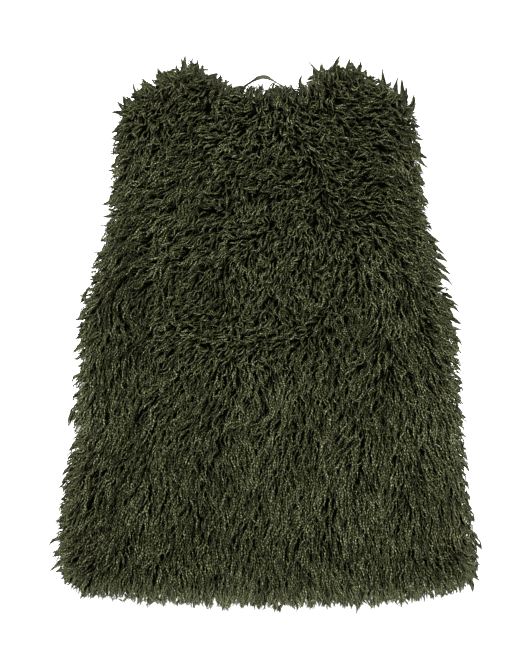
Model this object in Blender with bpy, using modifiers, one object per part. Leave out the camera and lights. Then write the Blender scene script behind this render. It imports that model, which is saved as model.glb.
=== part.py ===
"""Faux fur vest laid flat with its back up: a back, two fronts under it and a hanger loop.

Lengths in the tables are millimetres. X runs across the garment, Y from hem to neck and
Z up from the surface it lies on. Every panel is a thick wall: its plain side is the cloth
backing and its other side is the outer reach of the long curly pile, raised in clumps.
"""

import bmesh
import bpy
import numpy as np

MM = 0.001
SEAM_GAP = 0.3

# The middle of the vest's box, tufts included, from the middle of the cut pieces
BOX_MIDDLE = (2.81, -1.9)

# Thickness of the two layers as they lie
FRONT_THICKNESS = 16.0
BACK_PILE = 25.0
RIM_RISE = 4.0
PLAIN_INSET = 7.0

# Plain side of the back panel, and of the fronts a seam gap below it
BACK_UNDER = FRONT_THICKNESS + SEAM_GAP

# How far in from each edge the pile rounds over
SIDE_ROUND = 44.0
HEM_ROUND = 34.0
SHOULDER_ROUND = 34.0
FRONT_EDGE_ROUND = 16.0
FRONT_PILE = 23.0

# Grid of each panel's fur side, as cells across and cells along
BACK_CELLS = (64, 76)
FRONT_CELLS = (16, 40)
EDGE_CROWDING = 0.35
BACK_SEED = 11
FRONT_SEED = 23

# Outline of the side edges from the hem corner up to the shoulder point
SIDE_COLUMNS = ("height", "left", "right")
SIDES = (
    (-323, -268, 276),
    (-290, -275, 280),
    (-251, -272, 273),
    (-191, -263, 265),
    (-112, -252, 260),
    (-33, -247, 255),
    (26, -244, 249),
    (66, -232, 243),
    (106, -219, 231),
    (145, -207, 218),
    (205, -201, 208),
    (264, -197, 202),
    (305, -187, 193),
)

# Outline of the hem from the left corner to the right one
HEM_COLUMNS = ("across", "height")
HEM = (
    (-268, -323),
    (-251, -338),
    (-205, -346),
    (-152, -350),
    (-86, -354),
    (0, -358),
    (86, -357),
    (165, -352),
    (218, -346),
    (257, -337),
    (276, -323),
)

# Outline of the left shoulder, the back neck and the right shoulder
TOP_COLUMNS = ("across", "height")
TOP = (
    (-187, 305),
    (-172, 321),
    (-152, 334),
    (-128, 346),
    (-106, 355),
    (-90, 353),
    (-79, 347),
    (-66, 338),
    (-51, 330),
    (-33, 326),
    (0, 323),
    (29, 324),
    (49, 329),
    (60, 337),
    (68, 348),
    (88, 354),
    (110, 355),
    (131, 347),
    (152, 336),
    (172, 325),
    (193, 305),
)

# The back neck between the two shoulders
NECK_MIDDLE = -8.0
NECK_HALF_WIDTH = 70.0
NECK_SQUARENESS = 4

# The fronts: a deeper neck, a hollowed armhole, and edges that meet at the centre
NECK_POINT = 84.0
NECK_POINT_HEIGHT = 350.0
FRONT_NECK_BASE = 232.0
FRONT_NECK_BOW = 10.0
ARMHOLE_BASE = 100.0
ARMHOLE_HOLLOW = 14.0
FRONT_INSET = 3.0
CENTRE_STRIP = 1.0

# Soft folds of the back, each a trough along a line: its start, its end, its half width
# and its depth
FOLDS = (
    (-190, 30, -60, 44, 24, 4.0),
    (20, 0, 92, 196, 26, 3.5),
    (-82, -170, -64, -345, 24, 4.5),
    (-236, -190, -214, -90, 18, 3.0),
    (96, -230, 82, -350, 22, 3.5),
    (170, 84, 226, 30, 20, 3.5),
    (-120, 250, -20, 232, 24, 3.0),
)

# Locks of pile: staggered ridges along the grid columns, rising from root to tip. A lock
# is a few grid rows long, and starts a random part of its length away from its neighbour
LOCK_ROWS = 4.6
LOCK_ROWS_SPREAD = 0.5
LOCK_STAGGER = 0.9
LOCK_RISE = 12.0
LOCK_RISE_POWER = 0.7
LOCK_LEAST = 0.6
VALLEY_DEPTH = 3.0
VALLEY_LEAST = 0.2
PARTING_HEIGHT = 262.0
PARTING_ACROSS = 96.0

# Broad low lumps under the locks: their rise, their length, and the number and sway of
# the waves across and up
LUMP_RISE = 2.0
LUMP_LENGTH = 58.0
LUMP_WAVES = (5.1, 3.7)
LUMP_SWAYS = (1.3, 0.9)

# Tufts that stand out past the cut edge, and how far the rim draws in between two
TUFT_REACH = 6.5
TUFT_SPREAD = 0.55
RIM_DIP = -0.4
NECK_TUFT_REACH = 1.5
TUFT_DROOP = 0.8

# The grid shares by which a point lies inside the rim, to find the way out from it
INSIDE_SHARES = (0.02, 0.015)
LEAST_AWAY = 1e-6

# Hanger loop: a tape that arches past the neck edge, each end sewn under the back
TAPE_WIDTH = 5.7
TAPE_THICKNESS = 0.9
LOOP_COLUMNS = ("x", "y", "rise", "roll_degrees")
LOOP = (
    (-33.0, 307.0, 0.0, 0),
    (-32.0, 316.0, 0.0, 0),
    (-30.5, 322.0, 0.0, 8),
    (-28.0, 327.5, 1.4, 35),
    (-24.0, 331.0, 3.4, 62),
    (-18.5, 333.8, 5.0, 68),
    (-13.5, 336.6, 6.2, 45),
    (-8.0, 339.6, 7.0, 12),
    (-2.6, 340.6, 7.2, 0),
    (3.0, 339.8, 7.0, -12),
    (8.5, 337.0, 6.2, -45),
    (14.0, 333.9, 5.0, -68),
    (19.5, 330.8, 3.4, -62),
    (24.5, 327.4, 1.4, -35),
    (28.0, 322.0, 0.0, -8),
    (29.5, 316.0, 0.0, 0),
    (30.5, 307.0, 0.0, 0),
)

# Colour, roughness
FUR_FINISH = ((0.046, 0.051, 0.024, 1.0), 0.85)
TAPE_FINISH = ((0.075, 0.082, 0.043, 1.0), 0.7)


def column(rows, columns, name):
    """One named column of a table, as an array."""
    return np.array([row[columns.index(name)] for row in rows], float)


def smooth(at, places, values):
    """The heights, at the given places, of a smooth curve through a table's rows."""
    at = np.clip(at, places[0], places[-1])
    slopes = np.gradient(values, places)
    i = np.clip(np.searchsorted(places, at) - 1, 0, len(places) - 2)
    span = places[i + 1] - places[i]
    t = (at - places[i]) / span
    rise = values[i + 1] - values[i]
    bend = t * (1 - t) * ((1 - t) * (slopes[i] * span - rise) - t * (slopes[i + 1] * span - rise))
    return values[i] + rise * t + bend


def side_edge(height, name):
    """Where the left or right edge lies across, at a height."""
    return smooth(height, column(SIDES, SIDE_COLUMNS, "height"), column(SIDES, SIDE_COLUMNS, name))


def hem_edge(across):
    return smooth(across, column(HEM, HEM_COLUMNS, "across"), column(HEM, HEM_COLUMNS, "height"))


def top_edge(across):
    return smooth(across, column(TOP, TOP_COLUMNS, "across"), column(TOP, TOP_COLUMNS, "height"))


def row_place(x, y, z):
    """A place of the tables, in metres from the bottom centre of the vest's box."""
    return ((x - BOX_MIDDLE[0]) * MM, (y - BOX_MIDDLE[1]) * MM, z * MM)


def between(low, high, share):
    return low + (high - low) * share


def crowded(share):
    """Shares from 0 to 1 with more of them near both ends."""
    return share - EDGE_CROWDING * np.sin(2 * np.pi * share) / (2 * np.pi)


def quarter_round(distance, radius):
    """From 0 at an edge to 1 a radius in, as a quarter circle rises."""
    short = 1 - np.clip(distance / radius, 0, 1)
    return np.sqrt(np.clip(1 - short * short, 0, 1))


def back_place(u, v):
    """The place of grid share (u, v) on the back, and its distances to the four edges."""
    hem = hem_edge(between(HEM[0][0], HEM[-1][0], u))
    top = top_edge(between(TOP[0][0], TOP[-1][0], u))
    y = between(hem, top, v)
    left, right = side_edge(y, "left"), side_edge(y, "right")
    x = between(left, right, u)
    return x, y, (x - left, right - x, y - hem, top - y)


def front_place(u, v, side):
    """The same for a front, u running from the side edge to the centre front."""
    outer = SIDES[0][1] if side < 0 else SIDES[0][2]
    shoulder = TOP[0][0] if side < 0 else TOP[-1][0]
    hem = hem_edge(between(outer, 0.0, u)) + FRONT_INSET
    top = top_edge(between(shoulder, side * NECK_POINT, u)) - FRONT_INSET
    y = between(hem, top, v)
    armhole = np.clip((y - ARMHOLE_BASE) / (SIDES[-1][0] - ARMHOLE_BASE), 0, 1)
    inset = FRONT_INSET + ARMHOLE_HOLLOW * np.sin(np.pi * armhole)
    edge = side_edge(y, "left" if side < 0 else "right") - side * inset
    rise = np.clip((y - FRONT_NECK_BASE) / (NECK_POINT_HEIGHT - FRONT_NECK_BASE), 0, 1)
    neck = NECK_POINT * rise + FRONT_NECK_BOW * np.sin(np.pi * rise)
    centre = side * np.maximum(neck, SEAM_GAP / 2)
    x = between(edge, centre, u)
    return x, y, (np.abs(x - edge), np.abs(centre - x), y - hem, top - y)


def lock_relief(column_number, row_number, x, y, seed):
    """The height of the locks on a grid, each a ridge whose tip hangs over a gap below it."""
    rng = np.random.default_rng(seed)
    columns = int(column_number.max()) + 1
    start = rng.uniform(0, LOCK_ROWS * LOCK_STAGGER, columns)[column_number]
    rows = (LOCK_ROWS + rng.uniform(-1, 1, columns) * LOCK_ROWS_SPREAD)[column_number]
    points_up = (y > PARTING_HEIGHT) & (np.abs(x) > PARTING_ACROSS)
    toward_tip = (np.where(points_up, row_number, row_number.max() - row_number) + start) / rows
    along = np.mod(toward_tip, 1.0)
    raised = (column_number + np.floor(toward_tip)) % 2 == 1
    ridge = LOCK_RISE * along**LOCK_RISE_POWER * rng.uniform(LOCK_LEAST, 1.0, len(x))
    valley = -VALLEY_DEPTH * rng.uniform(VALLEY_LEAST, 1.0, len(x))
    x, y = x / LUMP_LENGTH, y / LUMP_LENGTH
    lumps = LUMP_RISE * np.sin(x * LUMP_WAVES[0] + LUMP_SWAYS[0] * np.sin(y))
    lumps = lumps * np.cos(y * LUMP_WAVES[1] + LUMP_SWAYS[1] * np.sin(x))
    return np.where(raised, ridge, valley) + lumps


def fold_depth(x, y):
    """How far the soft folds sink the surface."""
    depth = np.zeros_like(x)
    for row in FOLDS:
        start_x, start_y, end_x, end_y, half_width, deepest = row
        run_x, run_y = end_x - start_x, end_y - start_y
        square = run_x * run_x + run_y * run_y
        along = np.clip(((x - start_x) * run_x + (y - start_y) * run_y) / square, 0, 1)
        away = np.hypot(x - start_x - along * run_x, y - start_y - along * run_y)
        depth = depth + deepest * np.exp(-((away / half_width) ** 2))
    return depth


def tuft_reach(column_number, row_number, seed):
    """How far each edge vertex stands out: every second one is the tip of a tuft."""
    rng = np.random.default_rng(seed)
    tip = np.where((column_number + row_number) % 2 == 1, 1.0, RIM_DIP)
    return tip * (1 + rng.uniform(-1, 1, len(tip)) * TUFT_SPREAD)


def new_object(bm, name, collection, finish):
    mesh = bpy.data.meshes.new(name)
    bm.to_mesh(mesh)
    bm.free()
    piece = bpy.data.objects.new(name, mesh)
    collection.objects.link(piece)
    material = bpy.data.materials.new(name)
    material.use_nodes = True
    shader = material.node_tree.nodes["Principled BSDF"]
    shader.inputs["Base Color"].default_value = finish[0]
    shader.inputs["Roughness"].default_value = finish[1]
    shader.inputs["Metallic"].default_value = 0.0
    mesh.materials.append(material)
    return piece


def fur_panel(name, collection, cells, place, fur_height, reach_of, plain_height, seed):
    """A thick wall: a lumpy fur side on a grid, a tufted rim and a flat plain side."""
    bm = bmesh.new()
    bmesh.ops.create_grid(bm, x_segments=cells[0], y_segments=cells[1], size=0.5)
    verts = list(bm.verts)
    across = np.array([round((vert.co.x + 0.5) * cells[0]) for vert in verts])
    along = np.array([round((vert.co.y + 0.5) * cells[1]) for vert in verts])
    edge = np.array([vert.is_boundary for vert in verts])
    u_at, v_at = crowded(across / cells[0]), crowded(along / cells[1])
    x, y, distances = place(u_at, v_at)
    z = fur_height(x, y, distances, lock_relief(across, along, x, y, seed))
    reach = np.where(edge, tuft_reach(across, along, seed) * reach_of(x, y), 0.0)

    # The way out of the panel from an edge vertex is away from a point a little inside
    inside_u, inside_v = INSIDE_SHARES
    inside_x, inside_y, _ = place(
        np.clip(u_at, inside_u, 1 - inside_u), np.clip(v_at, inside_v, 1 - inside_v)
    )
    away = np.hypot(x - inside_x, y - inside_y) + LEAST_AWAY
    out_x, out_y = (x - inside_x) / away, (y - inside_y) / away
    x, y = x + out_x * reach, y + out_y * reach
    y = y - TUFT_DROOP * np.clip(reach, 0, None) * np.clip(np.abs(out_x), 0, 1)
    for i, vert in enumerate(verts):
        vert.co = row_place(x[i], y[i], z[i])

    # The plain side is the rim drawn in a little and filled flat
    inset_u, inset_v = PLAIN_INSET / np.ptp(x), PLAIN_INSET / np.ptp(y)
    plain_x, plain_y, _ = place(
        np.clip(u_at, inset_u, 1 - inset_u), np.clip(v_at, inset_v, 1 - inset_v)
    )
    number = {vert: i for i, vert in enumerate(verts)}
    rim = [e for e in bm.edges if e.is_boundary]
    made = bmesh.ops.extrude_edge_only(bm, edges=rim)["geom"]
    for vert in [g for g in made if isinstance(g, bmesh.types.BMVert)]:
        i = next(number[e.other_vert(vert)] for e in vert.link_edges if e.other_vert(vert) in number)
        vert.co = row_place(plain_x[i], plain_y[i], plain_height)
    inner = [g for g in made if isinstance(g, bmesh.types.BMEdge) and g.is_boundary]
    bmesh.ops.edgeloop_fill(bm, edges=inner)
    bmesh.ops.triangulate(bm, faces=[f for f in bm.faces if len(f.verts) > 4])
    bmesh.ops.recalc_face_normals(bm, faces=bm.faces)
    return new_object(bm, name, collection, FUR_FINISH)


def make_back(collection):
    """The back: the whole outline of the garment, with its folds and locks."""

    def at_neck(x, y):
        away = (x - NECK_MIDDLE) / NECK_HALF_WIDTH
        return np.exp(-(away**NECK_SQUARENESS)) * (y > FRONT_NECK_BASE)

    def height(x, y, distances, relief):
        left, right, hem, top = distances
        top_round = between(SHOULDER_ROUND, FRONT_EDGE_ROUND, at_neck(x, y))
        crown = quarter_round(left, SIDE_ROUND) * quarter_round(right, SIDE_ROUND)
        crown = crown * quarter_round(hem, HEM_ROUND) * quarter_round(top, top_round)
        pile = BACK_PILE - RIM_RISE - LOCK_RISE / 2 + relief - fold_depth(x, y)
        return BACK_UNDER + RIM_RISE + crown * pile

    def reach(x, y):
        return between(TUFT_REACH, NECK_TUFT_REACH, at_neck(x, y))

    return fur_panel(
        "back_panel", collection, BACK_CELLS, back_place, height, reach, BACK_UNDER, BACK_SEED
    )


def make_front(name, side, collection):
    """A front, fur down: flat where it rests and rounding up to its edges."""

    def height(x, y, distances, relief):
        outer, centre, hem, top = distances
        crown = quarter_round(outer, SIDE_ROUND) * quarter_round(centre, FRONT_EDGE_ROUND)
        crown = crown * quarter_round(hem, HEM_ROUND) * quarter_round(top, SHOULDER_ROUND)
        return np.clip(FRONT_THICKNESS - RIM_RISE - crown * (FRONT_PILE + relief), 0, None)

    def reach(x, y):
        at_neck = (y > FRONT_NECK_BASE) & (np.abs(x) < NECK_POINT)
        plain = np.where(at_neck, NECK_TUFT_REACH, TUFT_REACH)
        return np.where(np.abs(x) < CENTRE_STRIP, 0.0, plain)

    def place(u, v):
        return front_place(u, v, side)

    return fur_panel(
        name, collection, FRONT_CELLS, place, height, reach, FRONT_THICKNESS, FRONT_SEED + side
    )


def make_loop(collection):
    """The hanger loop: a strip that turns as it arches, given the tape's thickness."""
    level = BACK_UNDER - SEAM_GAP - TAPE_THICKNESS / 2
    middles = np.array([column(LOOP, LOOP_COLUMNS, name) for name in ("x", "y", "rise")]).T
    middles = middles + (0, 0, level)
    rolls = np.radians(column(LOOP, LOOP_COLUMNS, "roll_degrees"))[:, None]
    tangents = np.gradient(middles, axis=0)
    flat = np.cross((0, 0, 1), tangents)
    flat /= np.linalg.norm(flat, axis=1)[:, None]
    upright = np.cross(tangents, flat)
    upright /= np.linalg.norm(upright, axis=1)[:, None]
    widths = (flat * np.cos(rolls) + upright * np.sin(rolls)) * TAPE_WIDTH / 2

    bm = bmesh.new()
    bmesh.ops.create_grid(bm, x_segments=1, y_segments=len(LOOP) - 1, size=0.5)
    for vert in bm.verts:
        station = round((vert.co.y + 0.5) * (len(LOOP) - 1))
        side = 1 if vert.co.x > 0 else -1
        vert.co = row_place(*(middles[station] + side * widths[station]))
    loop = new_object(bm, "hanger_loop", collection, TAPE_FINISH)
    wall = loop.modifiers.new("tape thickness", "SOLIDIFY")
    wall.thickness = TAPE_THICKNESS * MM
    wall.offset = 0.0


def main():
    for old in list(bpy.data.objects):
        bpy.data.objects.remove(old)
    collection = bpy.data.collections.new("faux_fur_vest")
    bpy.context.scene.collection.children.link(collection)
    make_back(collection)
    make_front("front_left", -1, collection)
    make_front("front_right", 1, collection)
    make_loop(collection)


main()
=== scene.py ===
"""Looks of a faux fur vest laid flat with its back up.

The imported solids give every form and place. This file dresses them: a dark knitted
backing for each panel, the long curly pile that stands on it strand by strand, the
woven hanger loop, the floor, the light and the camera. Tables are in millimetres in
the row frame: X across the vest, Y from hem to neck, Z up from the floor.
"""

import bmesh
import bpy
import numpy as np
from bpy.props import FloatProperty, FloatVectorProperty, IntProperty, PointerProperty
from mathutils import Matrix, Vector
from mathutils.bvhtree import BVHTree
from mathutils.kdtree import KDTree


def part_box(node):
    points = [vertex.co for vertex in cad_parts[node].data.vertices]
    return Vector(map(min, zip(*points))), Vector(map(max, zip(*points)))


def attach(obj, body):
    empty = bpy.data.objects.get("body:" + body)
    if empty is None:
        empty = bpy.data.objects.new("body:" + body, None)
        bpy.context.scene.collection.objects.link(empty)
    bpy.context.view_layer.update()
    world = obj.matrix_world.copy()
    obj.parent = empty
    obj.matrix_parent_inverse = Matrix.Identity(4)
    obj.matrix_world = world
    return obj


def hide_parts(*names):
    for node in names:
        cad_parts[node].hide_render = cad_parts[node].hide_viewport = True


bl_info = {
    "name": "Faux fur vest looks",
    "version": (1, 0, 0),
    "blender": (4, 5, 0),
    "location": "View3D > Sidebar > Vest",
    "description": "Dresses the solids of a shaggy vest with backing, pile and tape",
    "category": "Object",
}

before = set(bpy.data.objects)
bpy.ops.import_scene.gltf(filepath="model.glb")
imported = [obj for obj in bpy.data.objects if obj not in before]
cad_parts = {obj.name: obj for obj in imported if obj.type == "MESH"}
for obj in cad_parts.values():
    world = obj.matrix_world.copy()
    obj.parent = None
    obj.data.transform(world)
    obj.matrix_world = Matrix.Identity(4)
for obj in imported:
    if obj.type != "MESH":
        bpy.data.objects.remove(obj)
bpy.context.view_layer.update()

MM = 0.001

# Lie of the pile on the back: the place across and up, which way the tips point there
# in degrees from +X, and how many degrees a lock strays from it
LIE_OF_PILE = (
    (-190, 300, 205, 45), (-120, 300, 228, 42), (-50, 290, 215, 45), (10, 285, 255, 60),
    (60, 290, 290, 60), (120, 290, 345, 45), (185, 295, 335, 40), (-190, 240, 222, 26),
    (-110, 235, 226, 30), (-40, 225, 196, 42), (30, 215, 187, 48), (75, 235, 300, 60),
    (120, 215, 350, 45), (165, 225, 326, 30), (196, 225, 317, 20), (-180, 175, 222, 22),
    (-100, 170, 214, 32), (-30, 160, 208, 44), (45, 150, 236, 50), (105, 160, 350, 50),
    (165, 160, 320, 30), (-200, 115, 250, 16), (-130, 120, 222, 28), (-60, 120, 230, 34),
    (10, 105, 250, 38), (80, 105, 262, 40), (150, 105, 288, 32), (200, 105, 306, 20),
    (-222, 112, 205, 14), (-235, 60, 214, 14), (-244, 15, 224, 14), (-196, 30, 284, 16),
    (-145, 40, 232, 34), (-95, 75, 232, 36), (-95, 15, 225, 42), (-40, 50, 235, 42),
    (-40, 5, 225, 44), (20, 60, 255, 34), (20, 10, 250, 42), (90, 40, 258, 36), (135, 10, 250, 34),
    (170, 40, 272, 22), (228, 100, 324, 16), (238, 60, 328, 16), (250, 10, 322, 16),
    (-252, -60, 228, 14), (-256, -125, 234, 14), (-200, -60, 270, 16), (-150, -60, 246, 28),
    (-70, -70, 257, 28), (30, -80, 260, 26), (120, -80, 262, 26), (200, -80, 276, 18),
    (252, -45, 315, 14), (254, -90, 308, 14), (-264, -190, 232, 16), (-205, -190, 255, 16),
    (-135, -190, 256, 22), (-40, -190, 262, 18), (50, -190, 255, 20), (140, -190, 266, 16),
    (230, -190, 280, 14), (262, -140, 302, 14), (266, -200, 296, 14), (-262, -275, 222, 22),
    (-190, -290, 258, 18), (-60, -300, 266, 14), (60, -300, 272, 14), (160, -300, 277, 14),
    (258, -290, 290, 16),
)

# Distance within which the nearest row of that table rules
LIE_BLEND = 22.0

# Tufts that stand out along the shoulders and sides: the tip across and up, the way it
# points in degrees from +X, its length, and half the width of its foot
STANDING_TUFTS = (
    (-207, 296, 168, 16, 6), (-200, 312, 132, 17, 6), (-191, 316, 119, 16, 5),
    (-184, 317, 129, 17, 5), (-178, 338, 108, 27, 6), (-171, 335, 148, 22, 6),
    (-166, 342, 135, 20, 5), (-146, 351, 111, 17, 5), (-145, 361, 124, 28, 8),
    (-132, 355, 117, 19, 6), (-116, 371, 92, 30, 6), (-108, 374, 93, 31, 8), (-97, 371, 90, 28, 6),
    (-91, 370, 93, 25, 5), (-85, 361, 97, 20, 5), (-61, 345, 80, 14, 5), (47, 347, 86, 19, 4),
    (52, 366, 128, 29, 4), (62, 359, 105, 20, 8), (71, 364, 87, 22, 9), (99, 374, 76, 30, 6),
    (108, 373, 74, 28, 6), (108, 365, 93, 20, 5), (120, 369, 79, 24, 5), (137, 349, 62, 18, 9),
    (145, 343, 103, 20, 5), (153, 356, 96, 33, 6), (173, 345, 82, 25, 6), (178, 343, 93, 26, 5),
    (184, 332, 86, 20, 5), (192, 322, 81, 19, 5), (197, 309, 54, 17, 5), (208, 260, 340, 15, 4),
    (213, 235, 330, 17, 4), (216, 222, 300, 31, 7), (230, 125, 335, 17, 4), (235, 108, 320, 21, 5),
    (234, 104, 330, 15, 4), (241, 95, 325, 19, 4), (239, 89, 330, 19, 4), (245, 81, 325, 23, 5),
    (245, 67, 320, 25, 5), (234, 64, 330, 17, 4), (254, 39, 335, 19, 4), (254, 31, 325, 17, 4),
    (259, 15, 330, 21, 5), (259, 9, 345, 17, 4), (258, -13, 315, 19, 5), (258, -22, 300, 17, 4),
    (253, -27, 315, 15, 4), (258, -46, 310, 19, 4), (258, -57, 320, 21, 4), (257, -90, 305, 17, 4),
    (265, -134, 330, 19, 5), (268, -158, 310, 23, 5), (267, -180, 300, 15, 4),
    (275, -262, 330, 15, 4), (280, -267, 325, 21, 5), (283, -302, 350, 15, 4),
    (282, -324, 320, 17, 5), (-275, -321, 225, 17, 4), (-282, -312, 190, 17, 5),
    (-285, -292, 200, 15, 4), (-285, -286, 190, 15, 4), (-289, -278, 215, 21, 5),
    (-273, -195, 225, 19, 5), (-271, -185, 225, 15, 4), (-258, -63, 220, 17, 4),
    (-262, -52, 215, 25, 5), (-257, -22, 215, 17, 4), (-256, -4, 205, 17, 4),
    (-254, 11, 205, 15, 4), (-256, 21, 200, 17, 4), (-250, 55, 140, 15, 3), (-238, 76, 175, 21, 4),
    (-238, 82, 180, 19, 4), (-236, 90, 190, 19, 4), (-228, 105, 200, 17, 3),
    (-231, 112, 195, 21, 4), (-223, 125, 195, 17, 4), (-221, 147, 185, 19, 4),
    (-220, 159, 190, 17, 3), (-219, 175, 195, 15, 4), (-212, 196, 190, 15, 4),
    (-212, 221, 185, 17, 4), (-206, 241, 180, 15, 4),
)

# Painted light and shade of soft hollows and swells of the pile as it lies on the folded
# fronts: the middle across and up, the half width and half height, and how dark or pale
# it is painted
PAINTED_FOLD_SHADING = (
    (-178, 35, 22, 95, -1.5), (-215, -215, 24, 90, -0.7), (-82, -150, 20, 125, -0.6),
    (118, 190, 56, 44, -0.5), (28, 20, 26, 16, -0.7), (-70, 42, 28, 14, -0.6),
    (116, 22, 20, 18, -1.5), (20, 95, 50, 32, 0.6), (140, 80, 22, 32, 0.5), (2, -120, 34, 95, 0.6),
    (110, -222, 36, 60, 0.9), (-148, -225, 18, 42, 0.5), (-224, -98, 24, 24, 2.8),
    (217, -114, 22, 28, 2.4), (-12, 270, 18, 20, 1.7), (-138, 193, 24, 24, 1.0),
    (-13, -46, 26, 28, 1.1), (-85, -18, 18, 18, 0.9), (-160, 127, 20, 40, -0.8),
    (196, 18, 20, 36, 0.7), (196, -222, 20, 40, 0.5), (-165, 265, 40, 55, 0.4),
)

# How far the hem's tufts hang past the outline: the place across, and the reach
HEM_REACH = (
    (-260, 1), (-240, -3), (-210, -1.5), (-150, 5), (-120, 5.5), (-60, 3.5), (-15, 0), (20, 3),
    (100, 3), (190, 3), (220, -2), (240, 0.5), (270, 3),
)

# How far the pile stands past both sides, below zero where a gap between its tufts
# draws in: the place up, and the reach at the left and at the right
SIDE_REACH = (
    (-142, 0, 0), (-130, -8, 0), (-114, -8, 0), (-102, 0, 0), (20, 0, 0), (44, 0, -3),
    (56, 0, -11), (88, 0, -12), (100, -2, -5), (114, 1, 0), (128, 4, 0), (150, 7, 0), (190, 7, 0),
    (215, 4.5, 0), (240, 4, 3), (280, 3, 3), (300, 2, 0),
)

# Bands of the back from hem to shoulders, one piece of pile for each, with both ends
BACK_BANDS = (
    ("back_pile_hem", -400.0, -205.0),
    ("back_pile_waist", -205.0, -45.0),
    ("back_pile_chest", -45.0, 140.0),
    ("back_pile_yoke", 140.0, 400.0),
)

# Hanger loop: the tape's middle line across, up and in its rise as it arches, and its
# roll about that line in degrees
LOOP = (
    (-33, 307, 0, 0), (-32, 316, 0, 0), (-30.5, 322, 0, 8), (-28, 327.5, 1.4, 50),
    (-24, 331, 3.4, 76), (-18.5, 333.8, 5, 80), (-13.5, 336.6, 6.2, 62), (-8, 339.6, 7, 10),
    (-2.6, 340.6, 7.2, 0), (3, 339.8, 7, -10), (8.5, 337, 6.2, -58), (14, 333.9, 5, -72),
    (19.5, 330.8, 3.4, -66), (24.5, 327.4, 1.4, -45), (28, 322, 0, -8), (29.5, 316, 0, 0),
    (30.5, 307, 0, 0),
)

# Where that table starts from: the middle of the cut, at the height of the sewn ends
LOOP_START = (-2.81, 1.9, 15.55)

# Soft lamps: place in metres, share of the key's power, and size in metres
LAMPS = (
    ("key_left", (-1.3, 1.5, 1.9), 1.0, 0.8),
    ("fill_right", (1.5, 0.9, 2.0), 0.6, 1.0),
    ("fill_hem", (0.2, -2.1, 1.3), 0.3, 1.2),
)

# Painted shade between the locks: width of a cell that looks for the tallest strand, and
# the depth under it at which the pile is painted all dark
SHADE_CELL = 2.0
BURIED_DEPTH = 10.2

# Length of one wave of a lock
WAVE_LENGTH = 15.0

# How many strands fit across a pile's UV map, a cell for each
UV_CELLS = 60

# Share of a cell's width that a turn round a strand takes, and a cell's free margin
AROUND_SHARE = 0.75
UV_MARGIN = 0.02

# Back neck: middle and half width along the outline, and over the face
NECK = (-8.0, 66.0)
FACE_NECK = (-4.0, 60.0)

# Where the hem ends, where the shoulders begin and where both fronts meet
HEM_LINE = -300.0
SHOULDERS = 240.0
CENTRE_FRONT = -2.8

# How far the pile keeps back from a standing tuft, and how slim such a tuft is
TUFT_CLEARANCE = 7.0
TALL_SLIMNESS = 0.6

# Flatness of a strand, and the lowest that it lies above the floor
FLATNESS = 0.72
FLOOR_GAP = 0.2

# Point under the camera, and the level that its picture height is set for
VIEW_MIDDLE = (-1.5, 5.2)
VIEW_LEVEL = 20

TURN = 2 * np.pi


def merged_solid(node):
    """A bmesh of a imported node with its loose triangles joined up."""
    bm = bmesh.new()
    bm.from_mesh(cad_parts[node].data)
    bmesh.ops.remove_doubles(bm, verts=bm.verts, dist=0.01 * MM)
    return bm


def placed(name, data):
    """A new object, linked to the scene."""
    shown = bpy.data.objects.new(name, data)
    bpy.context.scene.collection.objects.link(shown)
    return shown


def mesh_of(name, bm, material):
    """A bmesh made into a mesh of one material."""
    mesh = bpy.data.meshes.new(name)
    bm.to_mesh(mesh)
    bm.free()
    mesh.materials.append(material)
    return mesh


def ease(values, start=0.0, span=1.0):
    """A smooth rise from 0 at the start to 1 at the end of the span."""
    values = np.clip((values - start) / span, 0.0, 1.0)
    return values * values * (3.0 - 2.0 * values)


def fade(values, start, span):
    """A smooth fall from 1 at the start to 0 at the end of the span."""
    return 1.0 - ease(values, start, span)


def within(x, middle, half_width):
    return np.abs(x - middle) < half_width


def unit(vectors, least=0.0):
    return vectors / (np.linalg.norm(vectors, axis=-1, keepdims=True) + least)


def tree_of(places):
    """A search tree of places seen from above."""
    tree = KDTree(len(places))
    for number, place in enumerate(places):
        tree.insert((place[0], place[1], 0.0), number)
    tree.balance()
    return tree


def patches(x, y, size, seed):
    """Soft random values from -1 to 1 at places, in patches about `size` across."""
    cells = 96
    lattice = np.random.default_rng(seed).uniform(-1.0, 1.0, (cells + 1, cells + 1))
    u, v = x / size + cells / 2, y / size + cells / 2
    i, j = np.floor(u).astype(int) % cells, np.floor(v).astype(int) % cells
    s, t = ease(u - np.floor(u)), ease(v - np.floor(v))
    low = lattice[i, j] * (1 - s) + lattice[i + 1, j] * s
    high = lattice[i, j + 1] * (1 - s) + lattice[i + 1, j + 1] * s
    return low * (1 - t) + high * t


def lie_of_pile(x, y):
    """Heading in radians and scatter in radians of the pile at places."""
    table = np.array(LIE_OF_PILE, float)
    away = (x[:, None] - table[:, 0]) ** 2 + (y[:, None] - table[:, 1]) ** 2
    weight = 1.0 / (away + LIE_BLEND**2) ** 2
    weight /= weight.sum(1)[:, None]
    turn = np.radians(table[:, 2])
    heading = np.arctan2((weight * np.sin(turn)).sum(1), (weight * np.cos(turn)).sum(1))
    return heading, np.radians((weight * table[:, 3]).sum(1))


def painted_fold_shading(x, y):
    """Painted light and shade of the lay at places: how pale, below zero where dark."""
    total = np.zeros(len(x))
    for across, up, half_across, half_up, tone in PAINTED_FOLD_SHADING:
        away = ((x - across) / half_across) ** 2 + ((y - up) / half_up) ** 2
        total += tone * np.exp(-0.5 * away)
    return total


def tufted(x, y):
    """How close places are to a tuft that stands out of a side, from 0 to 1."""
    table = np.array(STANDING_TUFTS, float)
    turn = np.radians(table[:, 2])
    foot_x = table[:, 0] - np.cos(turn) * table[:, 3] * 0.7
    foot_y = table[:, 1] - np.sin(turn) * table[:, 3] * 0.7
    away = np.hypot(x[:, None] - foot_x, y[:, None] - foot_y).min(1)
    return fade(away, 6.0, 12.0) * fade(y, SHOULDERS, 20.0)


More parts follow.
